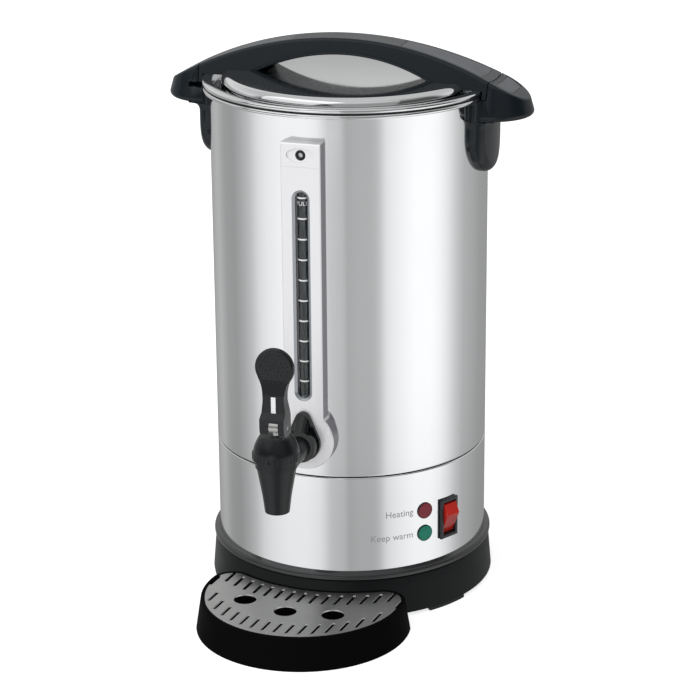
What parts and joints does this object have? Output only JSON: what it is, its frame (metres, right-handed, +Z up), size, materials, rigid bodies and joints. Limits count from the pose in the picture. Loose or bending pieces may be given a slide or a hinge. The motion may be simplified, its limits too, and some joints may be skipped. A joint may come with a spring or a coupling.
{
  "type": "hot water urn",
  "caption": "Electric hot water urn: stainless tank on a black base, lid with arched handle, level gauge, self-closing tap and loose drip tray.",
  "frame": {"origin": "on the worktop, under the middle of the tank: the point of the tank's axis in the plane of the six feet", "axes": "+Z up along the tank's axis, -Y to the front with the tap, gauge and tray, X through the two side handles"},
  "size_m": [0.2784, 0.3069, 0.4184],
  "materials": {
    "polished_stainless": "bright polished stainless sheet",
    "lid_stainless": "bright polished stainless sheet",
    "grate_stainless": "brushed stainless sheet",
    "black_moulded_plastic": "fine satin moulded",
    "black_tap_plastic": "semi-gloss moulded",
    "grey_ring_plastic": "satin moulded",
    "grip_inlay": "satin soft grip",
    "silver_plastic": "silver metallic lacquer",
    "gauge_glass": "clear drawn tube",
    "silicone": "food-grade silicone",
    "black_rubber": "moulded",
    "zinc_steel": "zinc-plated screws and nuts",
    "white_plastic": "moulded",
    "black_switch_plastic": "moulded switch housing",
    "red_translucent": "translucent red rocker",
    "dark_red_lens": "unlit red lens",
    "green_lens": "unlit green lens",
    "pressed_steel_plate": "galvanised bottom plate",
    "cast_aluminium": "cast heater plate",
    "element_sheath": "oxidised element sheath",
    "phenolic": "phenolic and ceramic bodies",
    "brass_pins": "nickel-plated brass pins"
  },
  "bodies": {
    "urn": {"tank": "polished_stainless", "lower_shell": "polished_stainless", "base_ring": "grey_ring_plastic", "base_skirt": "black_moulded_plastic", "base_plate": "pressed_steel_plate", "base_screws": "zinc_steel", "base_feet": "black_rubber", "heater_plate": "cast_aluminium", "heating_element": "element_sheath", "keep_warm_element": "element_sheath", "thermostat": "phenolic", "thermal_cutout": "phenolic", "terminal_block": "white_plastic", "heating_lamp": "dark_red_lens", "keep_warm_lamp": "green_lens", "lamp_sockets": "black_switch_plastic", "switch_housing": "black_switch_plastic", "appliance_inlet": "black_switch_plastic", "inlet_pins": "brass_pins", "inlet_screws": "zinc_steel", "right_side_handle": "black_moulded_plastic", "left_side_handle": "black_moulded_plastic", "side_handle_inlays": "grip_inlay", "side_handle_screws": "zinc_steel", "side_handle_washers": "silicone", "gauge_housing": "silver_plastic", "gauge_cap": "silver_plastic", "gauge_screw": "zinc_steel", "gauge_nut": "zinc_steel", "gauge_tube": "gauge_glass", "gauge_seals": "silicone", "gauge_tee": "black_moulded_plastic", "tap_body": "black_tap_plastic", "tap_flange": "black_tap_plastic", "tap_gaskets": "silicone", "tap_nut": "black_tap_plastic", "tap_bonnet": "black_tap_plastic"},
    "lid_seal": {"lid_seal": "black_rubber"},
    "lid": {"lid_pan": "lid_stainless", "lid_handle": "black_moulded_plastic", "lid_handle_inlays": "grip_inlay", "lid_screws": "zinc_steel"},
    "tap_stem": {"tap_stem": "grate_stainless", "seat_cup": "silicone", "pivot_pin": "zinc_steel", "tap_spring": "zinc_steel"},
    "tap_lever": {"tap_lever": "black_tap_plastic", "lever_marker": "white_plastic"},
    "rocker": {"switch_rocker": "red_translucent"},
    "tray": {"drip_tray": "black_moulded_plastic"},
    "grate": {"drip_grate": "grate_stainless"}
  },
  "joints": [
    {"name": "lid_lift", "type": "slide", "parent": "urn", "child": "lid_seal", "axis": [0, 0, 1], "range_m": [0, 0.15]},
    {"name": "lid_turn", "type": "hinge", "parent": "lid_seal", "child": "lid", "pos_m": [0, 0, 0.385], "axis": [0, 0, 1], "range_deg": [0, 30]},
    {"name": "stem_slide", "type": "slide", "parent": "urn", "child": "tap_stem", "axis": [0, 0, 1], "range_m": [0, 0.003], "stiffness_N_per_m": 60, "springref_m": -0.004, "deforming": ["tap_spring"]},
    {"name": "lever_tilt", "type": "hinge", "parent": "tap_stem", "child": "tap_lever", "pos_m": [0, -0.171, 0.175], "axis": [1, 0, 0], "range_deg": [0, 60]},
    {"name": "rocker_tilt", "type": "hinge", "parent": "urn", "child": "rocker", "pos_m": [0.08891, -0.04728, 0.069], "axis": [-0.4695, -0.8829, 0], "range_deg": [0, 18]},
    {"name": "tray_slide", "type": "slide", "parent": "urn", "child": "tray", "axis": [0, -1, 0], "range_m": [0, 0.12]},
    {"name": "grate_lift", "type": "slide", "parent": "tray", "child": "grate", "axis": [0, 0, 1], "range_m": [0, 0.06]}
  ],
  "couplings": [
    {"joint": "lever_tilt", "follows": "stem_slide", "rad_per_m": 349.06}
  ]
}
